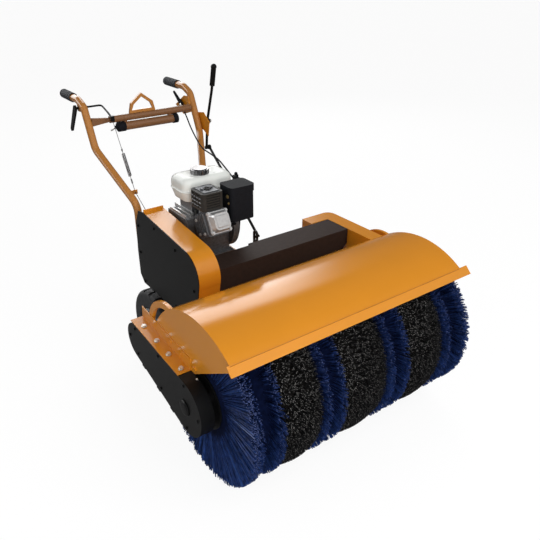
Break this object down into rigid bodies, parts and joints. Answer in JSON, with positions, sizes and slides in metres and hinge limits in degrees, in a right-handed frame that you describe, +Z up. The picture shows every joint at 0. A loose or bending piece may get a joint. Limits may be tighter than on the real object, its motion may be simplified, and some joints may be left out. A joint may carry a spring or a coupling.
{
  "type": "walk-behind power brush sweeper",
  "caption": "Walk-behind power sweeper with a blue-and-wire brush under a curved amber hood, belt and chain drive, small petrol engine and bent-tube handles.",
  "frame": {"origin": "middle of the machine's footprint, on the ground the tyres and bristles stand on", "axes": "+X along the brush towards the operator's right, +Y to the rear where the operator walks, +Z up"},
  "size_m": [1.042, 1.609, 1.1185],
  "materials": {
    "amber_paint": "gloss amber enamel",
    "tube_paint": "gloss amber enamel on bent tube",
    "black_paint": "satin black",
    "guard_paint": "satin black, brown in the light",
    "steel": "bare machined steel",
    "wire_steel": "crimped wire",
    "blue_fibre": "polypropylene bristle",
    "tyre_rubber": "matte",
    "grip_rubber": "matte",
    "belt_rubber": "matte",
    "black_plastic": "moulded",
    "engine_alloy": "die-cast",
    "cream_tank": "gloss cream",
    "cap_chrome": "bright",
    "rim_paint": "silver",
    "muffler_black": "heat-proof black"
  },
  "bodies": {
    "chassis": {"hood_shell": "amber_paint", "hood_sides": "amber_paint", "case_flange": "amber_paint", "chain_case_back": "black_paint", "chain_case_cover": "black_paint", "right_arm": "black_paint", "shaft_bearings": "steel", "drive_chains": "steel", "shaft_guard": "guard_paint", "belt_cover_panel": "black_paint", "belt_cover_strap": "amber_paint", "belt_cover_back": "amber_paint", "drive_belt": "belt_rubber", "right_rail": "amber_paint", "cross_member": "amber_paint", "engine_deck": "amber_paint", "axle_beam": "amber_paint", "handle_plate": "amber_paint", "left_handle_tube": "tube_paint", "right_handle_tube": "tube_paint", "handle_crossbar": "tube_paint", "lifting_eye": "tube_paint", "left_grip": "grip_rubber", "right_grip": "grip_rubber", "document_tube": "amber_paint", "clutch_wire": "steel", "clutch_spring": "steel", "throttle_plate": "amber_paint", "throttle_cable": "black_plastic", "lever_bracket": "amber_paint", "engine_block": "engine_alloy", "head_cover": "engine_alloy", "fuel_tank": "cream_tank", "muffler": "muffler_black", "air_cleaner": "black_plastic", "recoil_cover": "black_plastic"},
    "brush": {"brush_core": "black_paint", "blue_bristles": "blue_fibre", "wire_bristles": "wire_steel", "brush_sprocket": "steel"},
    "jackshaft_body": {"jackshaft": "steel"},
    "countershaft_body": {"countershaft": "steel"},
    "crankshaft_body": {"engine_pulley": "steel"},
    "idler_arm_body": {"idler_arm": "steel"},
    "idler_pulley_body": {"idler_pulley": "black_plastic"},
    "left_wheel": {"left_rim": "rim_paint", "left_tyre": "tyre_rubber"},
    "right_wheel": {"right_rim": "rim_paint", "right_tyre": "tyre_rubber"},
    "document_cap_body": {"document_cap": "black_plastic"},
    "clutch_lever_body": {"clutch_lever": "black_paint"},
    "throttle_lever_body": {"throttle_lever": "black_plastic"},
    "drive_lever_body": {"drive_lever": "black_paint"},
    "control_rod_body": {"control_rod": "black_paint"},
    "shift_arm_body": {"shift_arm": "steel"},
    "fuel_cap_body": {"fuel_cap": "cap_chrome"},
    "recoil_handle_body": {"recoil_handle": "black_plastic"},
    "choke_lever_body": {"choke_lever": "black_plastic"},
    "fuel_valve_body": {"fuel_valve": "black_plastic"},
    "stop_switch_body": {"stop_switch": "black_plastic"}
  },
  "joints": [
    {"name": "brush_spin", "type": "hinge", "parent": "chassis", "child": "brush", "pos_m": [0.006, -0.5145, 0.29], "axis": [1, 0, 0], "continuous": true},
    {"name": "jackshaft_spin", "type": "hinge", "parent": "chassis", "child": "jackshaft_body", "pos_m": [-0.394, -0.1815, 0.35], "axis": [1, 0, 0], "continuous": true},
    {"name": "countershaft_spin", "type": "hinge", "parent": "chassis", "child": "countershaft_body", "pos_m": [0.006, -0.1645, 0.50145], "axis": [1, 0, 0], "continuous": true},
    {"name": "crankshaft_spin", "type": "hinge", "parent": "chassis", "child": "crankshaft_body", "pos_m": [-0.244, 0.0705, 0.585], "axis": [1, 0, 0], "continuous": true},
    {"name": "left_wheel_spin", "type": "hinge", "parent": "chassis", "child": "left_wheel", "pos_m": [-0.274, 0.1355, 0.16], "axis": [1, 0, 0], "continuous": true},
    {"name": "right_wheel_spin", "type": "hinge", "parent": "chassis", "child": "right_wheel", "pos_m": [0.286, 0.1355, 0.16], "axis": [1, 0, 0], "continuous": true},
    {"name": "clutch_lever_swing", "type": "hinge", "parent": "chassis", "child": "clutch_lever_body", "pos_m": [-0.324, 0.6355, 0.964], "axis": [1, 0, 0], "range_deg": [-14, 0], "stiffness_Nm_per_rad": 6, "deforming": ["clutch_wire", "clutch_spring"]},
    {"name": "idler_arm_swing", "type": "hinge", "parent": "chassis", "child": "idler_arm_body", "pos_m": [-0.234, 0.0455, 0.405], "axis": [1, 0, 0], "range_deg": [-10, 0]},
    {"name": "idler_pulley_spin", "type": "hinge", "parent": "idler_arm_body", "child": "idler_pulley_body", "pos_m": [-0.27, -0.03306, 0.45695], "axis": [1, 0, 0], "continuous": true},
    {"name": "drive_lever_swing", "type": "hinge", "parent": "chassis", "child": "drive_lever_body", "pos_m": [0.189, 0.4885, 0.866], "axis": [1, 0, 0], "range_deg": [0, 12]},
    {"name": "control_rod_pivot", "type": "hinge", "parent": "drive_lever_body", "child": "control_rod_body", "pos_m": [0.204, 0.5065, 0.742], "axis": [1, 0, 0], "range_deg": [-12, 0]},
    {"name": "shift_arm_swing", "type": "hinge", "parent": "chassis", "child": "shift_arm_body", "pos_m": [0.084, -0.0295, 0.445], "axis": [1, 0, 0], "range_deg": [-17.6, 0]},
    {"name": "throttle_swing", "type": "hinge", "parent": "chassis", "child": "throttle_lever_body", "pos_m": [0.135, 0.6155, 0.92], "axis": [1, 0, 0], "range_deg": [-25, 25]},
    {"name": "choke_swing", "type": "hinge", "parent": "chassis", "child": "choke_lever_body", "pos_m": [-0.044, -0.0345, 0.628], "axis": [0, 1, 0], "range_deg": [-18, 15]},
    {"name": "fuel_valve_turn", "type": "hinge", "parent": "chassis", "child": "fuel_valve_body", "pos_m": [-0.044, -0.0345, 0.606], "axis": [0, 1, 0], "range_deg": [0, 60]},
    {"name": "stop_switch_turn", "type": "hinge", "parent": "chassis", "child": "stop_switch_body", "pos_m": [0.012, -0.0215, 0.618], "axis": [1, 0, 0], "range_deg": [0, 45]},
    {"name": "fuel_cap_turn", "type": "hinge", "parent": "chassis", "child": "fuel_cap_body", "pos_m": [-0.094, 0.0765, 0.805], "axis": [0, 0, 1], "range_deg": [0, 90]},
    {"name": "document_cap_pull", "type": "slide", "parent": "chassis", "child": "document_cap_body", "axis": [1, 0, 0], "range_m": [0, 0.06]},
    {"name": "recoil_pull", "type": "slide", "parent": "chassis", "child": "recoil_handle_body", "axis": [1, 0, 0], "range_m": [0, 0.3], "stiffness_N_per_m": 20}
  ],
  "couplings": [
    {"joint": "jackshaft_spin", "follows": "brush_spin", "ratio": 3.3333},
    {"joint": "countershaft_spin", "follows": "brush_spin", "ratio": 3.3333},
    {"joint": "crankshaft_spin", "follows": "brush_spin", "ratio": 7.5309},
    {"joint": "idler_arm_swing", "follows": "clutch_lever_swing", "ratio": 0.714},
    {"joint": "control_rod_pivot", "follows": "drive_lever_swing", "ratio": -1},
    {"joint": "shift_arm_swing", "follows": "drive_lever_swing", "ratio": -1.46}
  ]
}
